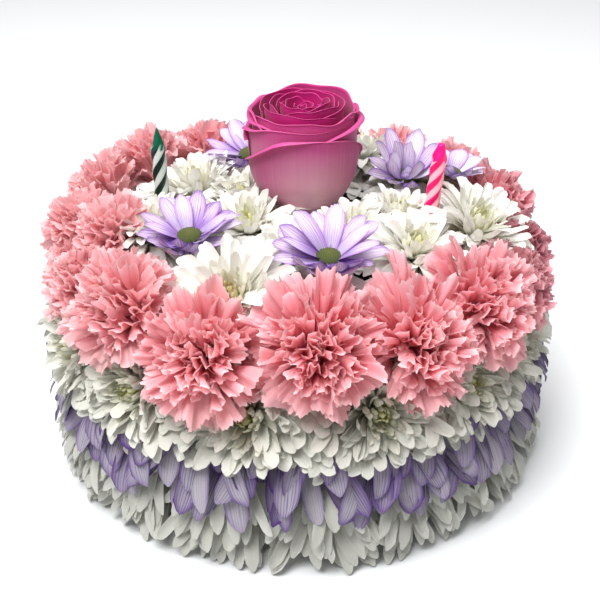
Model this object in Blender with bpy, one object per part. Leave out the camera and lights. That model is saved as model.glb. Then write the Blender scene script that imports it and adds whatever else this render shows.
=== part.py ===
# A fresh-flower birthday cake: a round block of floral foam, covered with flower heads
# in rows like the layers of a cake, with a rose and two twisted candles on top.
# Sizes and places are in millimetres, and MM turns them into Blender's metres.
# Azimuths are degrees about +Z, from +X; the front of the cake faces -Y.

import math
import random
from dataclasses import dataclass, field

import bmesh
import bpy
from mathutils import Vector

MM = 0.001
GAP = 0.3

# Foam block that carries every flower
CORE_RADIUS = 90.0
CORE_HEIGHT = 104.0
CORE_BEVEL = 20.0
CORE_SIDES = 32

# Rows of the side, from the plate upwards; each border is a cone that falls outwards
CAKE_RADIUS = 126.0
ROW_FOOT = 0.6
LOWER_BORDER = 30.0
LOWER_BORDER_FALL = 0.22
LOWER_PETALS = 72
LAVENDER_BORDER = 60.0
LAVENDER_BORDER_FALL = 0.30
LAVENDER_PETALS = 50
LAVENDER_TIP_HEIGHT = 24.0

# Upper row of white heads
UPPER_HEADS = 14
UPPER_RADIUS = 31.0
UPPER_REACH = 108.0
UPPER_HEIGHT = 73.0
UPPER_FIRST_AZIMUTH = -100.0
UPPER_TILT = 16.0

# Heads on the flat top
TOP_HEAD_HEIGHT = 112.0
TOP_DAISY_HEIGHT = 124.5
DAISY_CUP = 24.0
DAISY_PETALS = 12
DAISY_BACK = 5.6

# Carnations round the rim face outwards and up
CARNATION_TILT = 40.0
CARNATION_FLATNESS = 0.74

# Rose
ROSE_PLACE = (3.0, 23.0)
ROSE_BASE_HEIGHT = CORE_HEIGHT + GAP
ROSE_RIM_HEIGHT = 152.0
ROSE_TOP_HEIGHT = 170.0
ROSE_WALL_RADIUS = 21.0
ROSE_WALL_HEIGHT = 112.0
ROSE_WALL_FLARE = 0.32

# Candles: three lobes that go once round in each pitch of height
CANDLE_RADIUS = 3.7
CANDLE_LOBES = 3
CANDLE_SIDES = 12
GREEN_PITCH = 33.0
PINK_PITCH = 29.0
CANDLE_GROOVE = 0.16

SEED = 11


@dataclass
class Head:
    """One flower head: a body that every ray from its centre leaves once."""

    name: str
    kind: str
    centre: Vector
    axis: Vector
    radius: float
    walls: list = field(default_factory=list)

    @property
    def daisy(self):
        return self.kind.endswith("daisy")


def outward(azimuth):
    """The level unit vector at an azimuth."""
    turn = math.radians(azimuth)
    return Vector((math.cos(turn), math.sin(turn), 0.0))


def tilted(azimuth, elevation):
    """The unit vector at an azimuth, raised from the level by elevation."""
    rise = math.radians(elevation)
    return outward(azimuth) * math.cos(rise) + Vector((0.0, 0.0, math.sin(rise)))


# Where the heads are

# Azimuth, distance from the cake's axis, height and radius of each carnation
CARNATIONS = [
    (-111, 107, 98, 30.0),
    (-85, 107, 105, 29.0),
    (-62, 106, 101, 28.5),
    (-40, 105, 104, 28.0),
    (-21, 107, 98, 26.0),
    (-3, 107, 99, 26.0),
    (17, 108, 108, 27.0),
    (37, 106, 109, 27.0),
    (57, 105, 108, 27.0),
    (77, 106, 110, 27.0),
    (98, 107, 110, 27.0),
    (118, 108, 111, 27.0),
    (138, 109, 112, 28.0),
    (157, 110, 108, 27.0),
    (173, 109, 103, 26.0),
    (-178, 109, 92, 23.0),
    (-171, 90, 112, 25.0),
    (-160, 107, 97, 26.0),
    (-136, 105, 105, 29.0),
]

# X, Y, radius, and the azimuth and elevation that each white head on top faces
TOP_MUMS = [
    (-53, 37, 27.0, 140, 82),
    (-27, -76, 28.0, -100, 62),
    (-24, -7, 24.0, -120, 80),
    (-2, -37, 23.0, -90, 75),
    (28, -15, 22.0, -60, 80),
    (50, 2, 22.0, 0, 85),
    (55, -34, 25.0, -60, 75),
    (86, -10, 28.0, -35, 68),
    (35, 79, 26.0, 70, 72),
    (64, 58, 24.0, 45, 75),
    (5, 66, 25.0, 90, 80),
    (-28, 24, 22.0, 200, 80),
    (-71, -13, 25.0, 180, 75),
]

# X, Y, radius, and the azimuth and elevation that each lavender daisy on top faces
TOP_DAISIES = [
    (-49, -40, 24.0, -110, 80),
    (14, -60, 26.5, -80, 82),
    (-26, 58, 25.0, -150, 74),
    (54, 28, 25.0, -90, 84),
    (79, 33, 18.0, 20, 74),
]
# The one of them that is half closed
CUPPED_DAISY = 4

# Base and tip of each candle's axis
GREEN_CANDLE = ((-66.2, 4.5, CORE_HEIGHT + GAP), (-66.6, 4.0, 159.5))
PINK_CANDLE = ((63.2, -4.4, CORE_HEIGHT + GAP), (67.4, -6.6, 155.5))


# Flower heads

# Rows of each shape, from the middle of the face to the back: angle from the axis,
# reach at a petal's middle and reach between two petals, as shares of the radius
CARNATION_ROWS = [(22, 0.83, 0.74), (45, 0.95, 0.84), (68, 1.03, 0.93), (92, 1.02, 0.92), (118, 0.86, 0.80)]
MUM_ROWS = [(24, 0.68, 0.60), (46, 0.86, 0.74), (68, 1.02, 0.84), (92, 0.92, 0.78), (125, 0.62, 0.58)]
DAISY_ROWS = [(48, 0.21, 0.20), (62, 0.96, 0.72), (69, 1.0, 0.76), (88, 0.24, 0.22), (130, 0.21, 0.21)]
CUPPED_ROWS = [(15, 0.24, 0.22), (28, 0.97, 0.74), (42, 0.98, 0.72), (62, 0.82, 0.55), (130, 0.19, 0.19)]

SHAPES = {
    "carnation": dict(rows=CARNATION_ROWS, petals=10, face=0.72, back=0.74, crag=0.045),
    "mum": dict(rows=MUM_ROWS, petals=9, face=0.56, back=0.58, crag=0.03),
    "daisy": dict(rows=DAISY_ROWS, petals=DAISY_PETALS, face=0.15, back=0.21, crag=0.02),
    "cupped daisy": dict(rows=CUPPED_ROWS, petals=DAISY_PETALS, face=0.15, back=0.19, crag=0.02),
}


def make_heads():
    """All separate heads, without their walls."""
    chance = random.Random(SEED)
    heads = []
    for number, (azimuth, reach, height, radius) in enumerate(CARNATIONS, 1):
        centre = outward(azimuth) * reach + Vector((0, 0, height))
        axis = tilted(azimuth, CARNATION_TILT)
        heads.append(Head(f"carnation_{number:02d}", "carnation", centre, axis, radius))
    for number in range(1, UPPER_HEADS + 1):
        azimuth = UPPER_FIRST_AZIMUTH + (number - 1) * 360 / UPPER_HEADS + chance.uniform(-3, 3)
        height = UPPER_HEIGHT + chance.uniform(-2, 2)
        centre = outward(azimuth) * UPPER_REACH + Vector((0, 0, height))
        axis = tilted(azimuth, UPPER_TILT)
        heads.append(Head(f"upper_mum_{number:02d}", "mum", centre, axis, UPPER_RADIUS))
    for number, (x, y, radius, azimuth, elevation) in enumerate(TOP_MUMS, 1):
        centre = Vector((x, y, TOP_HEAD_HEIGHT))
        heads.append(Head(f"top_mum_{number:02d}", "mum", centre, tilted(azimuth, elevation), radius))
    for number, (x, y, radius, azimuth, elevation) in enumerate(TOP_DAISIES, 1):
        centre = Vector((x, y, TOP_DAISY_HEIGHT))
        kind = "cupped daisy" if number == CUPPED_DAISY else "daisy"
        heads.append(Head(f"top_daisy_{number:02d}", kind, centre, tilted(azimuth, elevation), radius))
    return heads


def core_walls(head):
    """Planes that keep a head off the foam's top, bevel and side."""
    out = Vector((head.centre.x, head.centre.y, 0.0)).normalized()
    top = Vector((0, 0, CORE_HEIGHT + GAP))
    side = out * (CORE_RADIUS + GAP)
    slope = (out + Vector((0, 0, 1))).normalized()
    shoulder = out * (CORE_RADIUS - CORE_BEVEL) + Vector((0, 0, CORE_HEIGHT)) + slope * GAP
    choices = [(top, Vector((0, 0, 1))), (shoulder, slope), (side, out)]
    room = [(head.centre - point).dot(up) for point, up in choices]
    point, up = choices[room.index(max(room))]
    return [(point, -up)]


def border_wall(head):
    """The plane that keeps an upper head above the border of the lavender row."""
    out = Vector((head.centre.x, head.centre.y, 0.0)).normalized()
    point = out * CORE_RADIUS + Vector((0, 0, LAVENDER_BORDER + GAP))
    up = (Vector((0, 0, 1)) + out * LAVENDER_BORDER_FALL).normalized()
    return [(point, -up)]


def rose_wall(head):
    """The plane that leans outwards with the rose's flare, between it and a head."""
    axis = Vector((*ROSE_PLACE, ROSE_WALL_HEIGHT))
    away = head.centre - axis
    away.z = 0.0
    away.normalize()
    into_rose = (Vector((0, 0, ROSE_WALL_FLARE)) - away).normalized()
    return [(axis + away * (ROSE_WALL_RADIUS + GAP), into_rose)]


def candle_walls(head):
    """Upright planes beside the candles that are near a head."""
    walls = []
    for base, tip in (GREEN_CANDLE, PINK_CANDLE):
        lean = max(abs(tip[0] - base[0]), abs(tip[1] - base[1]))
        axis = (Vector(base) + Vector(tip)) / 2
        towards = axis - head.centre
        towards.z = 0.0
        if towards.length < head.radius + 2 * CANDLE_RADIUS:
            towards.normalize()
            clear = CANDLE_RADIUS + lean / 2 + GAP
            walls.append((axis - towards * clear, towards))
    return walls


def shared_wall(head, other):
    """The plane between two heads: under a daisy's cup, or between two round heads."""
    apart = other.centre - head.centre
    if other.daisy and not head.daisy:
        sideways = -(apart - other.axis * apart.dot(other.axis))
        sideways.normalize()
        cup = math.radians(DAISY_CUP)
        normal = other.axis * math.cos(cup) - sideways * math.sin(cup)
        return (other.centre - normal * DAISY_BACK, normal)
    if head.daisy and not other.daisy:
        return None
    distance = apart.length
    share = (distance**2 + head.radius**2 - other.radius**2) / (2 * distance)
    normal = apart / distance
    return (head.centre + normal * (share - GAP / 2), normal)


def wall_in(heads):
    """Gives each head the planes that keep it off its neighbours."""
    for head in heads:
        head.walls += core_walls(head)
        if head.name.startswith("upper"):
            head.walls += border_wall(head)
        if head.name.startswith("top"):
            head.walls += rose_wall(head)
        head.walls += candle_walls(head)
        for other in heads:
            if other is head:
                continue
            if (other.centre - head.centre).length < head.radius + other.radius + 3:
                wall = shared_wall(head, other)
                if wall:
                    head.walls.append(wall)


def free_reach(head, direction, wanted):
    """How far a ray goes from a head's centre before a wall stops it."""
    reach = wanted
    for point, normal in head.walls:
        closing = direction.dot(normal)
        if closing > 1e-6:
            reach = min(reach, (point - head.centre).dot(normal) / closing)
    return reach


def head_mesh(head, shape, chance):
    """Points and faces of a head in its own frame, with the face of the flower at +Z."""
    turn = head.axis.to_track_quat("Z", "Y")
    columns = 2 * shape["petals"]
    spin = chance.uniform(0, 360 / shape["petals"])
    points = []

    def add(angle, around, share):
        polar = math.radians(angle)
        side = math.radians(around)
        local = Vector((math.sin(polar) * math.cos(side), math.sin(polar) * math.sin(side), math.cos(polar)))
        points.append(local * free_reach(head, turn @ local, share * head.radius))

    add(0, 0, shape["face"])
    for number, (angle, middle, between) in enumerate(shape["rows"]):
        shift = 0 if head.daisy else number % 2
        for column in range(columns):
            share = middle if (column + shift) % 2 == 0 else between
            share += chance.uniform(-1, 1) * shape["crag"]
            flat = 1.0
            if head.kind == "carnation":
                polar = math.radians(angle)
                flat = 1 / math.hypot(math.sin(polar), math.cos(polar) / CARNATION_FLATNESS)
            add(angle, spin + column * 360 / columns, share * flat)
    add(180, 0, shape["back"])
    return points, ball_faces(columns, len(shape["rows"])), turn


def ball_faces(columns, rows):
    """Triangles over a ball of rows of points with one point at each end."""
    faces = []
    last = 1 + columns * rows
    for column in range(columns):
        after = (column + 1) % columns
        faces.append((0, 1 + column, 1 + after))
        for row in range(rows - 1):
            upper = 1 + row * columns
            lower = upper + columns
            faces.append((upper + column, lower + column, lower + after))
            faces.append((upper + column, lower + after, upper + after))
        bottom = 1 + (rows - 1) * columns
        faces.append((bottom + column, last, bottom + after))
    return faces


# Building blocks

def make_material(name, colour, roughness):
    material = bpy.data.materials.new(name)
    material.use_nodes = True
    shader = material.node_tree.nodes["Principled BSDF"]
    shader.inputs["Base Color"].default_value = (*colour, 1.0)
    shader.inputs["Roughness"].default_value = roughness
    shader.inputs["Metallic"].default_value = 0.0
    return material


def add_object(name, points, faces, material, place=(0, 0, 0), rotation=None):
    """An object from points in millimetres, placed by its location and rotation."""
    mesh = bpy.data.meshes.new(name)
    mesh.from_pydata([Vector(point) * MM for point in points], [], faces)
    tidy = bmesh.new()
    tidy.from_mesh(mesh)
    bmesh.ops.recalc_face_normals(tidy, faces=tidy.faces)
    tidy.to_mesh(mesh)
    tidy.free()
    mesh.materials.append(material)
    mesh.shade_smooth()
    mesh.set_sharp_from_angle(angle=math.radians(40))
    thing = bpy.data.objects.new(name, mesh)
    thing.location = Vector(place) * MM
    if rotation:
        thing.rotation_mode = "QUATERNION"
        thing.rotation_quaternion = rotation
    bpy.context.collection.objects.link(thing)
    return thing


def turned_faces(columns, rows):
    """Quads over rings of points, with a flat or pointed cap at each end."""
    faces = []
    for row in range(rows - 1):
        for column in range(columns):
            after = (column + 1) % columns
            first = row * columns
            faces.append((first + column, first + after, first + columns + after, first + columns + column))
    faces.append(tuple(range(columns))[::-1])
    faces.append(tuple(range((rows - 1) * columns, rows * columns)))
    return faces


def ring(columns, radius, height, turn=0.0):
    """A level ring of points about the Z axis."""
    return [
        (
            radius * math.cos(2 * math.pi * column / columns + turn),
            radius * math.sin(2 * math.pi * column / columns + turn),
            height,
        )
        for column in range(columns)
    ]


# Sub-parts

def build_core(material):
    """The foam block: a plain round block with a bevelled top edge."""
    points = []
    for radius, height in (
        (CORE_RADIUS, 0.0),
        (CORE_RADIUS, CORE_HEIGHT - CORE_BEVEL),
        (CORE_RADIUS - CORE_BEVEL, CORE_HEIGHT),
    ):
        points += ring(CORE_SIDES, radius, height)
    return add_object("foam_core", points, turned_faces(CORE_SIDES, 3), material)


def petal_row(name, petals, section, material, chance):
    """A closed ring of petals that hang side by side; section gives the four corners
    (radius, height) of its cut at a petal's middle and between two petals."""
    columns = 2 * petals
    points = []
    for column in range(columns):
        turn = 2 * math.pi * column / columns
        corners = section(column % 2, chance)
        for radius, height in corners:
            points.append((radius * math.cos(turn), radius * math.sin(turn), height))
    faces = []
    corners = len(points) // columns
    for column in range(columns):
        here = column * corners
        after = (column + 1) % columns * corners
        for corner in range(corners):
            onward = (corner + 1) % corners
            faces.append((here + corner, after + corner, after + onward))
            faces.append((here + corner, after + onward, here + onward))
    return add_object(name, points, faces, material)


def lower_section(between, chance):
    """The lowest row: petals that lie outwards and down to the plate."""
    inner = CORE_RADIUS + GAP
    shoulder = 116.0
    tip = CAKE_RADIUS - 0.8 - (5.0 if between else 0.0) + chance.uniform(-1.2, 1.2)
    border = LOWER_BORDER - (shoulder - CORE_RADIUS) * LOWER_BORDER_FALL
    rise = ROW_FOOT + (2.2 if between else 0.4)
    return [
        (inner, LOWER_BORDER - 2 * GAP),
        (shoulder, border - 2 * GAP),
        (tip, rise),
        (inner, ROW_FOOT),
    ]


def lavender_section(between, chance):
    """The middle row: broad petals that hang over the lowest row."""
    inner = CORE_RADIUS + GAP
    shoulder = 117.0
    tip = CAKE_RADIUS + 0.5 - (4.5 if between else 0.0) + chance.uniform(-1.0, 1.0)
    border = LAVENDER_BORDER - (shoulder - CORE_RADIUS) * LAVENDER_BORDER_FALL
    drop = LAVENDER_TIP_HEIGHT + (6.0 if between else 0.0) + chance.uniform(-1.0, 1.0)
    return [
        (inner, LAVENDER_BORDER - 2 * GAP),
        (shoulder, border - 2 * GAP),
        (tip, drop),
        (inner, LOWER_BORDER + 2 * GAP),
    ]


def rose_profile():
    """Rings of the rose from its base, up its outer petals, over the rims of three tiers
    of petals and down into its heart: radius, height, wave of the rim."""
    rim, top = ROSE_RIM_HEIGHT, ROSE_TOP_HEIGHT
    return [
        (11.0, ROSE_BASE_HEIGHT, 0.0),
        (17.0, 114.0, 0.0),
        (23.3, 121.5, 0.0),
        (26.6, 131.0, 0.0),
        (27.8, 142.0, 0.4),
        (29.2, rim, 2.6),
        (25.4, rim - 1.0, 2.0),
        (24.4, rim + 5.0, 1.0),
        (25.0, rim + 13.0, 2.4),
        (21.5, rim + 11.0, 1.6),
        (19.0, top - 2.0, 1.6),
        (14.5, top - 5.0, 1.0),
        (11.5, top - 0.5, 1.0),
        (7.0, top - 4.0, 0.6),
        (4.0, top - 2.5, 0.3),
    ]


def build_rose(material):
    """One closed body with the rose's tiers of petals round a tight heart."""
    columns = 24
    points = []
    profile = rose_profile()
    for level, (radius, height, wave) in enumerate(profile):
        for column in range(columns):
            turn = 2 * math.pi * column / columns
            lift = wave * math.sin(3 * turn + 1.9 * level)
            spread = 0.35 * wave * math.cos(3 * turn + 1.9 * level)
            reach = radius + spread
            points.append((reach * math.cos(turn), reach * math.sin(turn), height + lift))
    faces = turned_faces(columns, len(profile))
    return add_object("rose", points, faces, material, place=(*ROSE_PLACE, 0.0))


def build_candle(name, ends, pitch, tip_length, tip_width, material):
    """A twisted candle from the foam to its cone, with a groove for each turn of stripe."""
    base, tip = Vector(ends[0]), Vector(ends[1])
    length = (tip - base).length
    rows = 1 + round((length - tip_length) * CANDLE_SIDES / pitch)
    points = []
    for row in range(rows):
        height = (length - tip_length) * row / (rows - 1)
        twist = 2 * math.pi * height / pitch
        for column in range(CANDLE_SIDES):
            turn = 2 * math.pi * column / CANDLE_SIDES + twist
            lobe = math.cos(CANDLE_LOBES * (turn - twist))
            reach = CANDLE_RADIUS * (1 - CANDLE_GROOVE / 2 * (1 - lobe))
            points.append((reach * math.cos(turn), reach * math.sin(turn), height))
    points += ring(CANDLE_SIDES, tip_width, length, twist)
    faces = turned_faces(CANDLE_SIDES, rows + 1)
    turn = (tip - base).to_track_quat("Z", "Y")
    return add_object(name, points, faces, material, place=base, rotation=turn)


def clear_scene():
    for thing in list(bpy.data.objects):
        bpy.data.objects.remove(thing, do_unlink=True)


def main():
    clear_scene()
    chance = random.Random(SEED)
    foam = make_material("foam", (0.02, 0.05, 0.02), 0.9)
    white = make_material("white_petal", (0.86, 0.86, 0.80), 0.6)
    pink = make_material("pink_petal", (0.85, 0.36, 0.40), 0.6)
    lavender = make_material("lavender_petal", (0.50, 0.38, 0.76), 0.6)
    magenta = make_material("rose_petal", (0.60, 0.10, 0.32), 0.5)
    green_wax = make_material("green_wax", (0.0, 0.14, 0.07), 0.4)
    pink_wax = make_material("pink_wax", (0.95, 0.04, 0.25), 0.4)

    build_core(foam)
    petal_row("lower_mum_row", LOWER_PETALS, lower_section, white, chance)
    petal_row("lavender_daisy_row", LAVENDER_PETALS, lavender_section, lavender, chance)
    heads = make_heads()
    wall_in(heads)
    colours = {"carnation": pink, "mum": white, "daisy": lavender, "cupped daisy": lavender}
    for head in heads:
        points, faces, turn = head_mesh(head, SHAPES[head.kind], chance)
        add_object(head.name, points, faces, colours[head.kind], head.centre, turn)
    build_rose(magenta)
    build_candle("green_candle", GREEN_CANDLE, GREEN_PITCH, 10.5, 0.7, green_wax)
    build_candle("pink_candle", PINK_CANDLE, PINK_PITCH, 6.5, 2.0, pink_wax)


main()
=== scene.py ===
# The looks of a fresh-flower birthday cake: every head is built petal by petal, in
# millimetres, round the centre and axis that its solid has in the frame.
# Azimuths are degrees about +Z, from +X; the front of the cake faces -Y.

from collections import namedtuple
import math

import bpy
import numpy as np
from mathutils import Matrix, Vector


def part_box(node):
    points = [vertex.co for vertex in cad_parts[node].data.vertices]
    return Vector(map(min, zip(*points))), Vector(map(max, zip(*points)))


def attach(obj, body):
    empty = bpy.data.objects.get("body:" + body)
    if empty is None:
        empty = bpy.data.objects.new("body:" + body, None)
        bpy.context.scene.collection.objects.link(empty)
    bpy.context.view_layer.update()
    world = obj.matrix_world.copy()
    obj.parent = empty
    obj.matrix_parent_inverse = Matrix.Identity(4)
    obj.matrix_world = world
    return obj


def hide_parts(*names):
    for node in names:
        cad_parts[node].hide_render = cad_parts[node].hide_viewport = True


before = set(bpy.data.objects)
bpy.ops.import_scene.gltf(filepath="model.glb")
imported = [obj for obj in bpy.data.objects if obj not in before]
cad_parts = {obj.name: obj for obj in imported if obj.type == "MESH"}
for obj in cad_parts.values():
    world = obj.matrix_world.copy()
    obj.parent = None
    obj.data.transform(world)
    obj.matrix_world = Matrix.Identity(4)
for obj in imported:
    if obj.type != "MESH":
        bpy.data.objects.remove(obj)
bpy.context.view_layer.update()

MM = 0.001
SEED = 5


def chance(*numbers):
    """Random numbers of a flower's own, so that a change to one leaves the others alone."""
    return np.random.default_rng((SEED, *numbers))


# Heads, as in the frame

# Azimuth, distance from the cake's axis, height and radius of each carnation
CARNATIONS = [
    (-111, 107, 98, 30.0),
    (-85, 107, 105, 29.0),
    (-62, 106, 101, 28.5),
    (-40, 105, 104, 28.0),
    (-21, 107, 98, 26.0),
    (-3, 107, 99, 26.0),
    (17, 108, 108, 27.0),
    (37, 106, 109, 27.0),
    (57, 105, 108, 27.0),
    (77, 106, 110, 27.0),
    (98, 107, 110, 27.0),
    (118, 108, 111, 27.0),
    (138, 109, 112, 28.0),
    (157, 110, 108, 27.0),
    (173, 109, 103, 26.0),
    (-178, 109, 92, 23.0),
    (-171, 90, 112, 25.0),
    (-160, 107, 97, 26.0),
    (-136, 105, 105, 29.0),
]
CARNATION_TILT = 40.0
# How pale the carnations are round the cake, by azimuth: painted light, paler on the back and left
# where the light falls; below 0 they are deeper in colour, in painted shade on the right
PAINTED_LIGHT_AND_SHADE = [
    (-180, 1.0), (-150, 0.9), (-111, 0.25), (-85, 0.0), (-62, 0.0), (-40, -0.05), (-21, -0.6),
    (-3, -0.8), (17, -0.3), (37, 0.5), (57, 0.8), (98, 0.7), (118, 0.7), (138, 0.85), (157, 1.0),
]
# How large the carnations are made within their solids: those at the front, the others, and
# some single ones
FRONT_SHARE = 1.01
SIDE_SHARE = 0.91
SMALLER = {5: 0.85, 6: 0.83, 7: 0.81, 8: 0.81, 9: 0.84, 10: 0.86, 12: 0.78, 16: 0.78, 18: 0.81}
# How much further the upper petals of some reach over the top
RAISED = {1: 0.12, 2: 0.26, 3: 0.36, 4: 0.17, 5: 0.10, 19: 0.10}

# X, Y, radius, and the azimuth and elevation that each white head on top faces
TOP_MUMS = [
    (-53, 37, 27.0, 140, 82),
    (-27, -76, 28.0, -100, 62),
    (-24, -7, 24.0, -120, 80),
    (-2, -37, 23.0, -90, 75),
    (28, -15, 22.0, -60, 80),
    (50, 2, 22.0, 0, 85),
    (55, -34, 25.0, -60, 75),
    (86, -10, 28.0, -35, 68),
    (35, 79, 26.0, 70, 72),
    (64, 58, 24.0, 45, 75),
    (5, 66, 25.0, 90, 80),
    (-28, 24, 22.0, 200, 80),
    (-71, -13, 25.0, 180, 75),
]
TOP_MUM_HEIGHT = 112.0
# Their lowest petals lie level: how far they reach as a share of the radius, and how far
# from the cake's axis at most
SKIRT = 1.7
SKIRT_END = 100.0
SKIRT_PETALS = 17

# X, Y, radius, the azimuth and elevation that each lavender daisy on top faces, and how
# much whiter than the others it is
TOP_DAISIES = [
    (-49, -40, 24.0, -110, 80, 0.0),
    (14, -60, 26.5, -80, 82, 0.1),
    (-26, 58, 25.0, -150, 74, 0.2),
    (54, 28, 24.0, -90, 84, 0.5),
    (79, 33, 18.0, 20, 74, 0.5),
]
# The one of them that is half closed
CUPPED_DAISY = 4
TOP_DAISY_HEIGHT = 124.5

UPPER_HEADS = 14
UPPER_RADIUS = 30.0
UPPER_TILT = 16.0
ROW_REACH = 108.0
# The upper row stands out a little on one side
ROW_BULGE = 4.0
BULGE_AZIMUTH = -168.0
UPPER_HEIGHT = 73.0

ROSE_PLACE = (3.0, 23.0)
# Ends of each candle, pitch of its stripes, length of its pointed tip and radius of the
# tip's end, and length of the plain wax at the top
CANDLES = {
    "green": (((-66.2, 4.5, 104.3), (-66.6, 4.0, 159.5)), 33.0, 10.5, 0.3, 10.0),
    "pink": (((63.2, -4.4, 104.3), (67.4, -6.6, 155.5)), 29.0, 6.5, 1.5, 8.0),
}
CANDLE_RADIUS = 3.7
# Colours of the plain wax and of its two stripes
WAXES = {
    "green": ((0.0, 0.085, 0.042), (0.0, 0.016, 0.008), (0.46, 0.53, 0.48)),
    "pink": ((1.0, 0.008, 0.19), (1.0, 0.006, 0.17), (0.96, 0.42, 0.50)),
}


def outward(azimuth):
    turn = math.radians(azimuth)
    return Vector((math.cos(turn), math.sin(turn), 0.0))


def tilted(azimuth, elevation):
    rise = math.radians(elevation)
    return outward(azimuth) * math.cos(rise) + Vector((0.0, 0.0, math.sin(rise)))


# Materials

PETAL_GLOSS = 0.35
PETAL_SHEEN = 0.15
PETAL_RELIEF = 0.4 * MM


class Value:
    """A node's output. Sums with it add math nodes, and ramps and mixtures colour nodes."""

    def __init__(self, tree, socket):
        self.tree, self.socket = tree, socket

    def made_by(self, operation, *values):
        node = self.tree.nodes.new("ShaderNodeMath")
        node.operation = operation
        for socket, value in zip(node.inputs, values):
            give(self.tree, socket, value)
        return Value(self.tree, node.outputs[0])

    def __add__(self, other):
        return self.made_by("ADD", self, other)

    def __sub__(self, other):
        return self.made_by("SUBTRACT", self, other)

    def __rsub__(self, other):
        return self.made_by("SUBTRACT", other, self)

    def __mul__(self, other):
        return self.made_by("MULTIPLY", self, other)

    def __pow__(self, other):
        return self.made_by("POWER", self, other)

    def __abs__(self):
        return self.made_by("ABSOLUTE", self)

    def cosine(self):
        return self.made_by("COSINE", self)

    def fraction(self):
        return self.made_by("FRACT", self)

    def above(self, low):
        return self.made_by("MAXIMUM", self, low)

    def below(self, high):
        return self.made_by("MINIMUM", self, high)

    def ramp(self, *stops):
        """The colour that goes with this value: stops are (place, colour)."""
        node = self.tree.nodes.new("ShaderNodeValToRGB")
        elements = node.color_ramp.elements
        while len(elements) < len(stops):
            elements.new(0.5)
        for element, (place, colour) in zip(elements, stops):
            element.position = place
            element.color = (*colour, 1.0)
        give(self.tree, node.inputs[0], self)
        return Value(self.tree, node.outputs[0])

    def mixed(self, share, other, blend="MIX"):
        """This colour with a share of another."""
        node = self.tree.nodes.new("ShaderNodeMix")
        node.data_type = "RGBA"
        node.blend_type = blend
        for socket, value in ((node.inputs[0], share), (node.inputs[6], self), (node.inputs[7], other)):
            give(self.tree, socket, value)
        return Value(self.tree, node.outputs[2])


# What a petal's own map and data say at a point
Petal = namedtuple("Petal", "across along tint layer dark")


def give(tree, socket, value):
    """Sets a socket to a constant or a colour, or links it to another node's output."""
    value = value.socket if isinstance(value, Value) else value
    if isinstance(value, bpy.types.NodeSocket):
        tree.links.new(value, socket)
    else:
        socket.default_value = (*value, 1.0) if isinstance(value, tuple) else value


def add_node(tree, kind, **inputs):
    node = tree.nodes.new(kind)
    for key, value in inputs.items():
        give(tree, node.inputs[key.replace("_", " ")], value)
    return node


def new_material(name):
    material = bpy.data.materials.new(name)
    material.use_nodes = True
    material.node_tree.nodes.clear()
    return material, material.node_tree


def finish_material(tree, shader):
    out = tree.nodes.new("ShaderNodeOutputMaterial")
    tree.links.new(shader.outputs[0], out.inputs[0])


def bumped(tree, height, strength, depth):
    """Normals bent by a height; depth is in metres."""
    node = add_node(tree, "ShaderNodeBump", Strength=strength, Distance=depth, Height=height)
    return node.outputs[0]


def petal_material(name):
    """A material, its node tree, and what the petal says at each point."""
    material, tree = new_material(name)
    place = tree.nodes.new("ShaderNodeUVMap")
    place.uv_map = "Petal"
    split = add_node(tree, "ShaderNodeSeparateXYZ", Vector=place.outputs[0])
    data = tree.nodes.new("ShaderNodeAttribute")
    data.attribute_name = "petal"
    own = add_node(tree, "ShaderNodeSeparateColor", Color=data.outputs["Color"])
    sockets = (split.outputs[0], split.outputs[1], own.outputs[0], own.outputs[1], own.outputs[2])
    return material, tree, Petal(*(Value(tree, socket) for socket in sockets))


def vein_pattern(petal, count, stretch):
    """Fine lines that run along a petal, broken up by noise: 0 between veins, 1 on them."""
    tree = petal.across.tree
    wander = add_node(
        tree, "ShaderNodeCombineXYZ",
        X=petal.across * float(count), Y=petal.along * stretch, Z=petal.tint * 37.0,
    )
    noise = add_node(tree, "ShaderNodeTexNoise", Vector=wander.outputs[0], Scale=1.0, Detail=3.0)
    return Value(tree, noise.outputs[0])


def vein_lines(petal, count, sharpness):
    """Thin lines along a petal, evenly spread but wandering: 1 on a line."""
    turn = petal.across * (2 * math.pi * count) + vein_pattern(petal, 5, 1.5) * 9.0 + petal.tint * 40.0
    line = ((turn.cosine() + 1.0) * 0.5) ** sharpness
    return line * (vein_pattern(petal, 9, 3.0) * 1.6)


def petal_shader(tree, colour, roughness, through, height, bump):
    """A soft surface that lets some light through."""
    normal = bumped(tree, height, bump, PETAL_RELIEF)
    shader = add_node(
        tree, "ShaderNodeBsdfPrincipled", Base_Color=colour, Roughness=roughness, Normal=normal,
        Specular_IOR_Level=PETAL_GLOSS, Sheen_Weight=PETAL_SHEEN,
    )
    glow = add_node(tree, "ShaderNodeBsdfTranslucent", Color=colour, Normal=normal)
    both = tree.nodes.new("ShaderNodeMixShader")
    for socket, value in zip(both.inputs, (through, shader.outputs[0], glow.outputs[0])):
        give(tree, socket, value)
    finish_material(tree, both)


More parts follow.
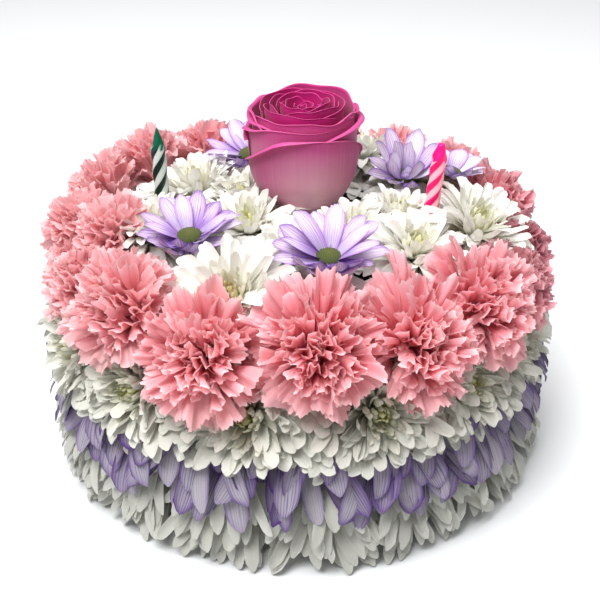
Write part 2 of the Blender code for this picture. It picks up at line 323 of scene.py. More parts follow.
def carnation_material():
    """Pink petals; their dark share says how pale they are, or below 0 how deep: painted light and
    painted shade by azimuth round the cake, and the outer petals' own paleness where they hang low.
    """
    material, tree, petal = petal_material("carnation petal")
    veins = vein_pattern(petal, 30, 1.2)
    outer = petal.along.ramp(
        (0.0, (0.78, 0.18, 0.215)), (0.5, (0.85, 0.285, 0.33)), (0.9, (0.89, 0.41, 0.46)),
        (1.0, (0.94, 0.60, 0.63)),
    )
    inner = petal.along.ramp(
        (0.0, (0.86, 0.13, 0.18)), (0.4, (0.89, 0.20, 0.25)), (0.8, (0.92, 0.32, 0.37)),
        (0.94, (0.93, 0.43, 0.475)), (0.975, (0.96, 0.58, 0.60)), (1.0, (0.97, 0.76, 0.76)),
    )
    streak = ((veins - 0.45) * 0.8).above(0.0)
    # pale: random tone, the outer petals' own paleness and painted light on the lit side; deep: painted
    # shade on the shaded side, mixed towards a dark pink
    pale = (petal.tint * 0.20 + petal.dark * 0.55).above(0.0)
    deep = (petal.dark * -0.8).above(0.0)
    colour = outer.mixed(petal.layer, inner).mixed(streak, (0.80, 0.17, 0.21))
    colour = colour.mixed(pale, (0.91, 0.58, 0.59)).mixed(deep, (0.42, 0.10, 0.15))
    petal_shader(tree, colour, 0.62, 0.44, veins, 0.6)
    return material


def white_material(name, shade, depth, heart_deep, through):
    """White petals, pale green where they start and at the heart. shade is painted shade that
    darkens them all; depth and heart_deep are the colours that petals and heart fade to where
    they start, and a near-black depth is painted shade in the crevices."""
    material, tree, petal = petal_material(name)
    veins = vein_pattern(petal, 11, 0.8)
    # Petals fade to depth where they start: pale green on top, near black for the rows at the side,
    # which is painted shade in the crevices
    outer = petal.along.ramp(
        (0.0, depth), (0.30, (0.80, 0.79, 0.67)), (0.48, (0.87, 0.86, 0.79)),
        (1.0, (0.88, 0.87, 0.82)),
    )
    inner = petal.along.ramp(
        (0.0, heart_deep), (0.4, (0.72, 0.71, 0.18)), (1.0, (0.90, 0.88, 0.46)),
    )
    colour = outer.mixed(petal.layer**7.0, inner)
    # Random tone, then painted shade: the whole colour is multiplied by shade
    colour = colour.mixed(petal.tint * 0.22, (0.80, 0.79, 0.70)).mixed(1.0, shade, "MULTIPLY")
    petal_shader(tree, colour, 0.55, through, veins, 0.6)
    return material


def lavender_material(name, body, deep, shade, lines):
    """Petals with fine violet veins. body is their colour between the veins and deep that of
    veins and edges; shade below 1 is painted shade that darkens them all, and lines is how strong the
    veins are."""
    material, tree, petal = petal_material(name)
    face = petal.along.ramp(
        (0.0, (0.07, 0.02, 0.18)), (0.3, (0.24, 0.13, 0.44)), (0.66, body), (0.93, body),
        (1.0, (0.48, 0.35, 0.68)),
    )
    white = (petal.tint * 0.7).below(1.0)
    line = vein_lines(petal, 8.0, 3.0).below(1.0) * (1.15 * lines - petal.tint * 0.5)
    edge = (abs(petal.across - 0.5) ** 4.0 * 14.0).below(1.0)
    colour = face.mixed(white, (0.86, 0.81, 0.87)).mixed(line, deep).mixed(edge, deep)
    # The dark share turns petals deep violet; painted shade then mixes them towards black by 1 - shade
    colour = colour.mixed(petal.dark, (0.15, 0.04, 0.36)).mixed(1.0 - shade, (0.0, 0.0, 0.0))
    petal_shader(tree, colour, 0.5, 0.24, vein_pattern(petal, 12, 0.8), 0.45)
    return material


def disc_material():
    material, tree, petal = petal_material("daisy disc")
    colour = petal.along.ramp(
        (0.0, (0.10, 0.105, 0.010)), (0.35, (0.075, 0.09, 0.008)), (0.75, (0.055, 0.075, 0.006)),
        (1.0, (0.04, 0.05, 0.006)),
    )
    grain = add_node(tree, "ShaderNodeTexNoise", Scale=900.0, Detail=2.0)
    petal_shader(tree, colour, 0.6, 0.05, grain.outputs[0], 0.3)
    return material


def rose_material():
    """Magenta inside, paler outside where the belly is; the dark share marks rolled rims."""
    material, tree, petal = petal_material("rose petal")
    veins = vein_pattern(petal, 90, 1.0)
    outside = petal.along.ramp(
        (0.0, (0.66, 0.22, 0.34)), (0.35, (0.64, 0.20, 0.33)), (0.7, (0.58, 0.13, 0.29)),
        (0.975, (0.58, 0.07, 0.27)), (1.0, (0.68, 0.11, 0.33)),
    )
    inside = petal.along.ramp(
        (0.0, (0.34, 0.003, 0.08)), (0.6, (0.48, 0.006, 0.14)), (0.975, (0.52, 0.010, 0.18)),
        (1.0, (0.66, 0.07, 0.29)),
    )
    aside = abs(petal.across - 0.5)
    belly = (1.0 - aside * 3.6).above(0.0) * (1.0 - abs(petal.along - 0.45) * 2.2).above(0.0)
    # Painted shade: the outside turns darker magenta towards both sides of each petal, where it curves
    # away; the belly in the middle is made paler
    outside = outside.mixed((aside * 2.0) ** 2.0 * 0.95, (0.47, 0.045, 0.19))
    outside = outside.mixed(belly * 0.95, (0.92, 0.55, 0.63))
    streak = ((veins - 0.46) * 1.5 * (1.05 - petal.along)).above(0.0) * (1.0 - petal.layer)
    colour = outside.mixed(petal.layer, inside).mixed(streak, (0.84, 0.46, 0.55))
    colour = colour.mixed(petal.dark * 0.8, (0.54, 0.06, 0.25))
    petal_shader(tree, colour, 0.48, 0.2, veins, 0.12)
    return material


def wax_material(name, solid, stripe_a, stripe_b):
    """Two stripes that wind up the candle, by the phase kept across the petal map; its
    solid end is the layer."""
    material, tree, petal = petal_material(name)
    stripes = petal.across.fraction().ramp(
        (0.0, stripe_a), (0.46, stripe_a), (0.50, stripe_b), (0.96, stripe_b), (1.0, stripe_a),
    )
    colour = stripes.mixed(petal.layer, solid)
    grain = add_node(tree, "ShaderNodeTexNoise", Scale=260.0, Detail=3.0)
    # A faint painted glow: the wax emits light in its own colour, though it is no lamp
    shader = add_node(
        tree, "ShaderNodeBsdfPrincipled", Base_Color=colour, Roughness=0.34,
        Normal=bumped(tree, grain.outputs[0], 0.18, 0.3 * MM), Specular_IOR_Level=0.3,
        Emission_Color=colour, Emission_Strength=0.14,
    )
    finish_material(tree, shader)
    return material


def foam_material():
    material, tree = new_material("wet floral foam darkened with painted shade")
    cells = add_node(tree, "ShaderNodeTexVoronoi", Scale=700.0)
    blotch = add_node(tree, "ShaderNodeTexNoise", Scale=60.0, Detail=4.0)
    # The foam's own green, made nearly black: painted shade for the gaps between the heads where it
    # shows
    colour = Value(tree, blotch.outputs[0]).ramp(
        (0.35, (0.008, 0.020, 0.008)), (0.7, (0.030, 0.055, 0.018)),
    )
    shader = add_node(
        tree, "ShaderNodeBsdfPrincipled", Base_Color=colour, Roughness=0.85,
        Normal=bumped(tree, cells.outputs[0], 0.8, MM),
    )
    finish_material(tree, shader)
    return material


# Meshes

class Bunch:
    """Collects sheets of points and makes one mesh of them."""

    def __init__(self):
        self.points, self.places, self.data, self.slots, self.faces = [], [], [], [], []
        self.count = 0

    def sheets(self, points, across, along, tint, layer, dark, slot=0, closed=False):
        """Adds n sheets of rows by columns points; tint, layer and dark are one value or
        one array that fits (n, rows, columns)."""
        n, rows, columns, _ = points.shape
        shape = (n, rows, columns)
        self.points.append(points.reshape(-1, 3))
        place = np.stack([np.broadcast_to(across, shape), np.broadcast_to(along, shape)], -1)
        self.places.append(place.reshape(-1, 2))
        kept = [np.broadcast_to(value, shape) for value in (tint, layer, dark)]
        self.data.append(np.stack([*kept, np.ones(shape)], -1).reshape(-1, 4))
        index = np.arange(n * rows * columns).reshape(shape) + self.count
        left, right = index[:, :, :-1], index[:, :, 1:]
        if closed:
            left, right = index, np.roll(index, -1, axis=2)
        quads = np.stack([left[:, :-1], right[:, :-1], right[:, 1:], left[:, 1:]], -1).reshape(-1, 4)
        self.faces.append(quads)
        self.slots.append(np.full(len(quads), slot))
        self.count += n * rows * columns

    def make(self, name, materials, place=(0, 0, 0), axis=None):
        """The finished object, with the bunch's +Z turned to axis and moved to place."""
        points = np.concatenate(self.points)
        if axis is not None:
            points = points @ np.array(axis.to_track_quat("Z", "Y").to_matrix()).T
        points = (points + np.array(place)) * MM
        faces = np.concatenate(self.faces)
        mesh = bpy.data.meshes.new(name)
        mesh.vertices.add(len(points))
        mesh.vertices.foreach_set("co", points.astype(np.float32).ravel())
        mesh.loops.add(faces.size)
        mesh.loops.foreach_set("vertex_index", faces.astype(np.int32).ravel())
        mesh.polygons.add(len(faces))
        mesh.polygons.foreach_set("loop_start", np.arange(0, faces.size, 4, dtype=np.int32))
        mesh.update(calc_edges=True)
        mesh.polygons.foreach_set("material_index", np.concatenate(self.slots).astype(np.int32))
        mesh.polygons.foreach_set("use_smooth", np.ones(len(faces), bool))
        layer = mesh.uv_layers.new(name="Petal")
        places = np.concatenate(self.places)[faces.ravel()]
        layer.uv.foreach_set("vector", places.astype(np.float32).ravel())
        data = mesh.color_attributes.new("petal", "FLOAT_COLOR", "POINT")
        data.data.foreach_set("color", np.concatenate(self.data).astype(np.float32).ravel())
        for material in materials:
            mesh.materials.append(material)
        piece = bpy.data.objects.new(name, mesh)
        bpy.context.scene.collection.objects.link(piece)
        return piece


def bezier_sheets(start, control, tip, sheet, facing, outline, rows):
    """Points of n petals round midribs that are quadratic Bezier curves.
    start, control and tip are (n, 3); facing (n, 3) is roughly where the upper face looks;
    outline (n, columns) is the share of the length that each column has; sheet(s, t) gives
    how far each point lies to the side of the midrib and above it."""
    columns = outline.shape[1]
    row = np.linspace(0, 1, rows)[None, :, None]
    s = row * outline[:, None, :]
    t = np.broadcast_to(np.linspace(-1, 1, columns)[None, None, :], s.shape)
    a, b, c = (point[:, None, None, :] for point in (start, control, tip))
    s1 = s[..., None]
    middle = (1 - s1) ** 2 * a + 2 * s1 * (1 - s1) * b + s1**2 * c
    along = (1 - s1) * (b - a) + s1 * (c - b)
    along /= np.linalg.norm(along, axis=-1, keepdims=True) + 1e-9
    level = np.cross(along, facing[:, None, None, :])
    level /= np.linalg.norm(level, axis=-1, keepdims=True) + 1e-9
    face = np.cross(level, along)
    beside, above = sheet(s, t)
    return middle + level * beside[..., None] + face * above[..., None], row + 0 * s, t


def round_axis(around, far, high):
    """Points (n, 3) at a distance from +Z and a height, turned about +Z."""
    return np.stack([far * np.cos(around), far * np.sin(around), high + 0 * around], -1)


def slanted(around, angle, length=1.0):
    """Points (n, 3) at a length from the origin and an angle, in degrees, from +Z."""
    turn = np.radians(angle)
    return round_axis(around, length * np.sin(turn), length * np.cos(turn))


def upper_side(around, angle):
    """Where the upper faces of petals look that lean by an angle from +Z."""
    turn = np.radians(angle)
    return round_axis(around, -np.cos(turn), np.sin(turn))


def column(values):
    """One value a petal, shaped to fit its rows and columns."""
    return np.asarray(values)[:, None, None]


def ring_turns(rng, count, jitter):
    """Angles round the axis, evenly spaced but for a random start and jitter."""
    start = rng.uniform(0, 2 * np.pi)
    return start + (np.arange(count) + rng.uniform(-jitter, jitter, count)) * 2 * np.pi / count


# Carnations

# Angle from the axis, count, reach as a share of the radius, half width, end curl, fold
CARNATION_LAYERS = [
    (106, 7, 0.95, 12.0, 20, 2.0),
    (91, 9, 0.99, 12.5, 14, 2.5),
    (76, 10, 0.99, 11.0, 10, 2.9),
    (61, 10, 0.96, 10.0, 6, 3.0),
    (47, 10, 0.93, 9.0, 2, 3.1),
    (34, 9, 0.90, 8.0, -2, 3.2),
    (21, 8, 0.87, 7.4, -6, 3.2),
    (8, 6, 0.85, 6.8, -8, 3.0),
]
CARNATION_TEETH = 13
CARNATION_ROWS = 7
# Depths of the teeth and lobes of an edge, as shares of the petal's length, and of its crimps
TOOTH_DEPTH = (0.008, 0.055)
LOBE_DEPTH = (0.0, 0.07)
CRIMP_DEPTH = 1.2


def frilled_outline(rng, count):
    """How far each column of a fan reaches, with its teeth and lobes."""
    columns = 2 * CARNATION_TEETH + 1
    across = np.linspace(-1, 1, columns)[None, :]
    teeth = np.arange(columns) % 2 * rng.uniform(*TOOTH_DEPTH, (count, columns))
    depth, pace, shift = (rng.uniform(*ends, (count, 1)) for ends in (LOBE_DEPTH, (3, 7), (0, 6)))
    lobes = depth * np.sin(across * pace + shift)
    return 1.0 - 0.22 * np.abs(across) ** 2.2 - teeth + lobes


def frilled_sheet(rng, count, width, fold, share):
    """A fan's folds and crimps, which grow towards its edge."""
    size = column(rng.uniform(0.8, 1.12, count))
    turns = column(rng.uniform(1.1, 1.8, count) + 0.3 * share)
    phase = column(rng.uniform(0, 2 * np.pi, count))
    crimps = column(rng.uniform(3.5, 6.5, count))
    crimp_phase = column(rng.uniform(0, 2 * np.pi, count))
    bend = column(rng.uniform(-0.25, 0.35, count))
    twist = column(rng.uniform(-1.8, 1.8, count))
    crumple = column(rng.uniform(0.3, 1.3, count))

    def sheet(s, t):
        swing = np.pi * turns * (t + 0.12 * np.sin(3 * t + phase)) + phase + twist * s
        grow = np.clip(s, 0, 1.1) ** 1.4
        folds = fold * size * np.sin(swing) * grow
        crimped = CRIMP_DEPTH * np.sin(np.pi * crimps * t + crimp_phase) * grow**2
        crumpled = crumple * np.sin(8 * s + 3 * t + 2 * phase) * grow
        beside = width * size * (0.14 + 0.86 * s**1.1) * t * (1 - 0.05 * fold * s)
        above = folds + crimped + bend * width * t**2 * s + crumpled
        return beside - 0.30 * fold * np.sin(2 * swing) * grow, above

    return sheet


def carnation(rng, radius, painted_light_and_shade, raised):
    """Fans of frilled petals; the inner ones are turned about their own midribs and
    folded, so that their edges wind through each other."""
    bunch = Bunch()
    last = len(CARNATION_LAYERS) - 1
    for number, (angle, count, reach, width, curl, fold) in enumerate(CARNATION_LAYERS):
        share = number / last
        level = min(1.0, angle / 90)
        around = ring_turns(rng, count, 0.3)
        low = np.clip(-np.sin(around), 0, 1) * level
        high = np.clip(np.sin(around), 0, 1) ** 0.6 * level
        far = radius * reach * rng.uniform(0.78, 1.08, count) * (1 + raised * high + 0.06 * low)
        tip = slanted(around, angle + rng.uniform(-11, 11, count), far) * (1, 1, 0.92)
        apart = rng.uniform(0.04, 0.10 + 0.28 * share, count) * radius
        start = round_axis(around + rng.uniform(-1, 1, count) * share, apart, -0.52 * radius)
        length = np.linalg.norm(tip - start, axis=1)
        end = slanted(around, angle + curl + rng.uniform(-16, 16, count))
        control = tip - end * (length * 0.5)[:, None]
        yaw = rng.uniform(-1, 1, count) * (0.7 + 0.8 * share)
        sideways = round_axis(around + np.pi / 2, 1.0, 0.0) * np.sin(yaw)[:, None]
        facing = upper_side(around, angle) * np.cos(yaw)[:, None] + sideways
        outline = frilled_outline(rng, count)
        sheet = frilled_sheet(rng, count, width, fold, share)
        points, s, t = bezier_sheets(start, control, tip, sheet, facing, outline, CARNATION_ROWS)
        # Painted light and shade for the bloom's azimuth, with the outer petals' own paleness where
        # they hang low
        pale = painted_light_and_shade + column(low) * (0.8 if angle > 70 else 0.0)
        bunch.sheets(points, t / 2 + 0.5, s, column(rng.uniform(0, 1, count)), share, pale)
    return bunch


# White heads

# Angle from the axis, count, reach as a share of the radius, half width, end curl
MUM_LAYERS = [
    (124, 11, 1.15, 3.9, 20),
    (110, 13, 1.10, 3.9, 18),
    (95, 15, 1.28, 4.1, 12),
    (83, 15, 1.12, 3.9, 8),
    (70, 15, 1.04, 3.8, 0),
    (57, 14, 0.95, 3.5, -10),
    (44, 12, 0.80, 3.0, -20),
    (32, 12, 0.64, 2.2, -32),
    (20, 13, 0.50, 1.3, -40),
    (8, 10, 0.44, 0.9, -40),
]
MUM_ROWS = 7
MUM_COLUMNS = 7


def boat_profile(s):
    """Narrow at the base, widest past the middle, drawn in to a point."""
    return 0.40 + 0.60 * np.sin(np.pi * np.clip(s * 0.80 + 0.04, 0, 1)) ** 0.8


def spoon_profile(s):
    """Narrow at the base, then broad nearly to the round end."""
    grow = np.clip(s / 0.62, 0, 1)
    return 0.38 + 0.62 * grow * (2 - grow) - 0.38 * np.clip((s - 0.58) / 0.42, 0, 1) ** 2.2


def daisy_profile(s):
    """A spoon whose end is drawn in a little more."""
    return spoon_profile(s) * (1 - 0.2 * np.clip((s - 0.68) / 0.32, 0, 1) ** 2)


def ribbed_sheet(rng, widths, profile, groove, cups=(0.1, 0.5)):
    """A petal's cupped and slightly twisted cross section, with ribs along it."""
    count = len(widths)
    cup = column(rng.uniform(*cups, count))
    skew = column(rng.uniform(-0.22, 0.22, count))
    broad = column(widths)

    def sheet(s, t):
        ribs = groove * np.cos(3 * np.pi * t) * np.clip(2 * s, 0, 1)
        return broad * profile(s) * t, broad * (cup * t**2 + skew * t * s) + ribs

    return sheet


def blunt_outline(rng, slimness, columns, depth, power, jitter):
    """How far each column reaches: slimness is each petal's half width over its length,
    and depth how far its end is drawn out, as a share of the half width."""
    across = np.linspace(-1, 1, columns)[None, :]
    round_end = depth * slimness[:, None] * np.abs(across) ** power
    return 1.0 - round_end + rng.uniform(-jitter, jitter, (len(slimness), columns))


def mum(rng, radius, breadth, crowd, incurve, cups):
    """A full white head: broad petals below, short ones curled over the heart. breadth and
    crowd multiply the petals' widths and counts, incurve turns their tips in towards the
    heart, in degrees, and cups is the least and the most that they are cupped."""
    bunch = Bunch()
    last = len(MUM_LAYERS) - 1
    for number, (angle, count, reach, width, curl) in enumerate(MUM_LAYERS):
        inset = number / last
        count = round(count * crowd)
        around = ring_turns(rng, count, 0.3)
        lean = angle + rng.uniform(-9, 9, count)
        far = radius * reach * rng.uniform(0.84, 1.06, count)
        sway = around + rng.uniform(-0.18, 0.18, count)
        tip = slanted(sway, lean, far)
        start = round_axis(around, (0.14 - 0.11 * inset) * radius, (-0.24 + 0.26 * inset) * radius)
        length = np.linalg.norm(tip - start, axis=1)
        end = slanted(sway, angle + curl - incurve + rng.uniform(-22, 22, count))
        control = tip - end * (length * 0.5)[:, None]
        facing = upper_side(around, angle)
        widths = width * breadth * rng.uniform(0.8, 1.12, count)
        outline = blunt_outline(rng, widths / length, MUM_COLUMNS, 0.75, 2.4, 0.012)
        sheet = ribbed_sheet(rng, widths, spoon_profile, 0.14, cups)
        points, s, t = bezier_sheets(start, control, tip, sheet, facing, outline, MUM_ROWS)
        bunch.sheets(points, t / 2 + 0.5, s, column(rng.uniform(0, 1, count)), inset, 0.0)
    return bunch


def add_skirt(rng, head, place, radius, axis):
    """Adds long petals that lie level below a head on top, whatever way it faces, and close
    the gaps round it."""
    count = SKIRT_PETALS
    around = ring_turns(rng, count, 0.3)
    far = radius * SKIRT * rng.uniform(0.85, 1.05, count)
    outwards = place[0] * np.cos(around) + place[1] * np.sin(around)
    room = np.sqrt(outwards**2 + SKIRT_END**2 - place[0] ** 2 - place[1] ** 2) - outwards
    far = np.minimum(far, np.maximum(room, 12.0))
    start = round_axis(around, 2.0, -6.8)
    control = round_axis(around, 0.55 * far, rng.uniform(-5.0, -1.0, count))
    tip = round_axis(around, far, rng.uniform(-6.0, -3.0, count))
    up = round_axis(around, 0.0, 1.0)
    widths = 4.4 * rng.uniform(0.85, 1.1, count)
    outline = blunt_outline(rng, widths / far, MUM_COLUMNS, 1.0, 2.5, 0.01)
    sheet = ribbed_sheet(rng, widths, spoon_profile, 0.14, (0.1, 0.5))
    points, s, t = bezier_sheets(start, control, tip, sheet, up, outline, MUM_ROWS)
    points = points @ np.array(axis.to_track_quat("Z", "Y").to_matrix())
    head.sheets(points, t / 2 + 0.5, s, column(rng.uniform(0, 1, count)), 0.0, 0.0)


# Lavender daisies

DAISY_ROWS = 10
DAISY_COLUMNS = 9


# The green disc: its dome, and the florets on it, in millimetres
DISC_RADIUS = 5.9
DISC_HEIGHT = 2.2
DISC_LIFT = 0.6
FLORETS = 130
FLORET_SIZE = 0.62
FLORET_CORNERS = 6
GOLDEN_ANGLE = math.radians(137.508)


def disc_height(share):
    """Height of the dome at a share of its radius."""
    return DISC_LIFT + DISC_HEIGHT * (1 - share**2)


def add_disc(bunch, slot):
    """Adds a dome with small bumps along a sunflower spiral."""
    number = np.arange(FLORETS) + 0.5
    share = np.sqrt(number / FLORETS)
    middle = round_axis(number * GOLDEN_ANGLE, DISC_RADIUS * share, disc_height(share) - 0.3)
    around = np.arange(FLORET_CORNERS) * 2 * np.pi / FLORET_CORNERS
    wide, high = np.array([1.0, 0.55, 0.0])[:, None], np.array([0.0, 0.7, 1.0])[:, None]
    bump = round_axis(around, FLORET_SIZE * wide, FLORET_SIZE * high)
    points = middle[:, None, None] + bump[None]
    bunch.sheets(points, 0.5, column(share), 0.5, 0.0, 0.0, slot, closed=True)
    rings = np.linspace(0.0, 1.0, 7)[:, None]
    around = np.arange(24) * 2 * np.pi / 24
    dome = round_axis(around, DISC_RADIUS * rings, disc_height(rings) - 0.3)
    dome[-1, :, 2] -= 2.0
    bunch.sheets(dome[None], 0.5, rings[None], 0.5, 0.0, 0.0, slot, closed=True)


# Angle from the axis, count, reach as a share of the radius, half width, shift round the axis
OPEN_DAISY = [(78, 12, 1.03, 4.7, 0.0), (63, 12, 0.97, 4.5, 0.5)]
HALF_CLOSED_DAISY = [(70, 8, 0.90, 4.9, 0.3), (40, 7, 1.06, 5.4, 0.0), (20, 4, 0.80, 4.6, 0.5)]


def top_daisy(rng, radius, front_turn, layers, pale):
    """A cup of petals round a green disc; those towards front_turn are folded up and
    deep violet. pale is how much whiter it is."""
    bunch = Bunch()
    for angle, count, reach, width, shift in layers:
        steps = np.arange(count) + shift + rng.uniform(-0.2, 0.2, count)
        around = front_turn + steps * 2 * np.pi / count
        nearness = (1 + np.cos(around - front_turn)) / 2
        front = np.clip((nearness - 0.72) / 0.28, 0, 1)
        angles = angle + rng.uniform(-7, 7, count) - front * (8 if angle > 70 else 0)
        shorter = 1 - (0.75 if angle < 50 else 0.36) * front
        tip = slanted(around, angles, radius * reach * rng.uniform(0.92, 1.05, count) * shorter)
        start = round_axis(around, 3.4, -1.0)
        length = np.linalg.norm(tip - start, axis=1)
        end = slanted(around, angles + rng.uniform(-18, 10, count) - 75 * front)
        control = tip - end * (length * (0.5 + 0.15 * front))[:, None]
        facing = upper_side(around, angles)
        widths = width * rng.uniform(0.85, 1.1, count)
        outline = blunt_outline(rng, widths / length, DAISY_COLUMNS, 0.8, 2.4, 0.015)
        sheet = ribbed_sheet(rng, widths, daisy_profile, 0.24, (0.02, 0.45))
        points, s, t = bezier_sheets(start, control, tip, sheet, facing, outline, DAISY_ROWS)
        dark = np.clip(rng.uniform(-0.5, 0.25, count), 0, 1) + 0.75 * front
        tips = np.clip((s - 0.80) / 0.2, 0, 1) ** 2 * column(rng.uniform(0.0, 0.6, count))
        shade = np.clip(column(dark) * (0.35 + 0.65 * np.abs(t)) + tips, 0, 1)
        bunch.sheets(points, t / 2 + 0.5, s, column(rng.uniform(pale, 1 + pale, count)), 0.0, shade)
    add_disc(bunch, 1)
    return bunch


# Rows of the side: petals that hang outwards and down, fanned out from each head

TIP_REACH = 127.5
FLOOR_GAP = 0.8
LOWER_HEADS = 16
LAVENDER_HEADS = 15

# Count, distance and height where the petals start, the same for their tips, half width
LOWER_TIERS = [
    (104, 101, 17, 125.5, 1.6, 2.9),
    (108, 102, 23, 127.0, 4.5, 3.1),
    (108, 103, 29, 127.5, 9.0, 3.1),
    (106, 103, 34, 127.0, 14.0, 3.1),
    (104, 103, 39, 126.0, 19.5, 3.0),
    (96, 102, 42, 122.5, 24.0, 2.9),
    (80, 100, 44, 115.0, 31.0, 2.9),
]
LAVENDER_TIERS = [
    (50, 101, 53, 126.0, 25.0, 5.6),
    (50, 101, 58, 128.0, 29.5, 5.9),
    (50, 102, 62, 128.0, 35.0, 5.9),
    (50, 102, 66, 127.0, 42.0, 5.7),
    (46, 101, 69, 123.0, 51.0, 5.0),
]
# Broad petals behind the others of each row, which close the gaps between them
LOWER_BACKING = [(64, 98, 24, 115.0, 3.5, 5.5), (64, 98, 38, 114.0, 16.0, 5.5)]
LAVENDER_BACKING = [(60, 98, 54, 115.0, 31.0, 6.5), (60, 98, 66, 115.0, 45.0, 6.5)]
UPPER_BACKING = [(4, 98, 80, 115.0, 58.0, 5.5), (4, 98, 90, 115.0, 72.0, 5.5)]
HANGING_TIERS = [
    (9, 101, 60, 125.5, 54.0, 3.5),
    (9, 102, 65, 127.0, 58.0, 3.5),
    (8, 101, 70, 126.0, 65.0, 3.4),
]
# Petals between two heads of the upper row, which leave the hearts free
BETWEEN_TIERS = [
    (5, 101, 70, 125.0, 64.0, 3.6),
    (4, 101, 76, 123.0, 73.0, 3.6),
    (3, 100, 83, 120.0, 82.0, 3.6),
]


# How the petals of a row are cut: their profile, how far their ends are drawn out, rows and
# columns of points, and depth of the ribs
Cut = namedtuple("Cut", "profile depth rows columns groove")
POINTED = Cut(boat_profile, 1.7, 8, 7, 0.10)
BROAD = Cut(spoon_profile, 1.2, 9, 9, 0.20)
ROUNDED = Cut(spoon_profile, 1.0, MUM_ROWS, MUM_COLUMNS, 0.14)


def hanging_petals(rng, bunch, tiers, heads, gather, sway, cut, arc=None):
    """Adds tiers of petals all round the cake, or along an arc from azimuth to azimuth.
    heads is how many heads they belong to, and gather the share of a petal's way to its
    head's azimuth that its start is drawn in, which fans the petals out; each then leans
    up to sway degrees more."""
    for count, start_far, start_high, tip_far, tip_high, width in tiers:
        if arc is None:
            azimuth = ring_turns(rng, count, 0.35)
            away = ((azimuth * heads / (2 * np.pi) + 0.25) % 1.0 - 0.5) * 2 * np.pi / heads
        else:
            azimuth = np.radians(np.linspace(*arc, count) + rng.uniform(-1.5, 1.5, count))
            away = azimuth - azimuth.mean()
        lean = np.radians(rng.uniform(-sway, sway, count))
        azimuth = azimuth - gather * away
        slope = np.hypot(start_high - tip_high, tip_far - start_far)
        lean = lean + np.arctan2(gather * away * tip_far, slope)
        out, side = round_axis(azimuth, 1.0, 0.0), round_axis(azimuth + np.pi / 2, 1.0, 0.0)
        far = start_far + rng.uniform(-2, 2, count)
        start = round_axis(azimuth, far, start_high + rng.uniform(-3, 3, count))
        longer = 1 / np.maximum(np.cos(lean), 0.6)
        fall = (start_high - tip_high + rng.uniform(-3.5, 2.5, count)) * longer
        reach = tip_far - start_far + rng.uniform(-3.0, 1.0, count)
        end_high = start[:, 2] - np.maximum(fall * np.cos(lean), 0)
        aside = np.hypot(fall, reach) * np.sin(lean)
        tip = round_axis(azimuth, far + reach, np.maximum(end_high, FLOOR_GAP + 0.4))
        tip = tip + side * aside[:, None]
        belly = reach * rng.uniform(0.15, 0.42, count)
        control = (start + tip) / 2 + round_axis(azimuth, belly, rng.uniform(1, 4, count))
        facing = out + (0.0, 0.0, 0.55) + side * rng.uniform(-0.5, 0.5, count)[:, None]
        widths = width * rng.uniform(0.8, 1.12, count)
        slimness = widths / np.linalg.norm(tip - start, axis=1)
        outline = blunt_outline(rng, slimness, cut.columns, cut.depth, 2.2, 0.01)
        sheet = ribbed_sheet(rng, widths, cut.profile, cut.groove, (0.0, 0.55))
        points, s, t = bezier_sheets(start, control, tip, sheet, facing, outline, cut.rows)
        points = keep_in(points, TIP_REACH + 1.5, FLOOR_GAP)
        tipped = np.clip(rng.uniform(-1.0, 1.2, count), 0, 1)
        tips = np.clip((s - 0.80) / 0.20, 0, 1) ** 2 * column(tipped)
        edges = np.clip(column(rng.uniform(-0.7, 0.7, count)), 0, 1) * (0.4 + 0.6 * np.abs(t))
        tint, dark = column(rng.uniform(0, 1.3, count)), np.clip(edges + tips, 0, 1)
        bunch.sheets(points, t / 2 + 0.5, s, tint, 0.0, dark)
    return bunch


def keep_in(points, farthest, lowest):
    """Brings points that would pass the row's reach or the floor back onto them."""
    far = np.hypot(points[..., 0], points[..., 1])
    share = np.minimum(1.0, farthest / np.maximum(far, 1e-6))
    points[..., 0] *= share
    points[..., 1] *= share
    points[..., 2] = np.maximum(points[..., 2], lowest)
    return points


def lower_row(rng):
    row = hanging_petals(rng, Bunch(), LOWER_BACKING, LOWER_HEADS, 0.0, 10, POINTED)
    return hanging_petals(rng, row, LOWER_TIERS, LOWER_HEADS, 0.46, 26, POINTED)


def lavender_row(rng):
    row = hanging_petals(rng, Bunch(), LAVENDER_BACKING, LAVENDER_HEADS, 0.0, 10, BROAD)
    return hanging_petals(rng, row, LAVENDER_TIERS, LAVENDER_HEADS, 0.32, 22, BROAD)


def upper_head(rng, azimuth):
    """A white head that faces outwards, turned into the cake's own frame, with the
    petals that hang from it and those between it and the next."""
    head = mum(rng, UPPER_RADIUS * 0.86, breadth=0.84, crowd=1.1, incurve=16, cups=(0.35, 1.05))
    turn = np.array(tilted(azimuth, UPPER_TILT).to_track_quat("Z", "Y").to_matrix())
    bulge = ROW_BULGE * max(0.0, math.cos(math.radians(azimuth - BULGE_AZIMUTH))) ** 3
    centre = outward(azimuth) * (ROW_REACH + bulge) + Vector((0, 0, UPPER_HEIGHT))
    head.points = [points @ turn.T + np.array(centre) for points in head.points]
    step = 360 / UPPER_HEADS
    between = (azimuth + 0.28 * step, azimuth + 0.72 * step)
    for tiers in (UPPER_BACKING, BETWEEN_TIERS):
        hanging_petals(rng, head, tiers, UPPER_HEADS, 0.0, 12, ROUNDED, between)
    half = 1.25 * 180 / UPPER_HEADS
    arc = (azimuth - half, azimuth + half)
    return hanging_petals(rng, head, HANGING_TIERS, UPPER_HEADS, 0.4, 16, ROUNDED, arc)


# Rose

def smoothed(values):
    """Values with their corners rounded."""
    return np.convolve(np.pad(values, 10, "edge"), np.ones(21) / 21, "valid")


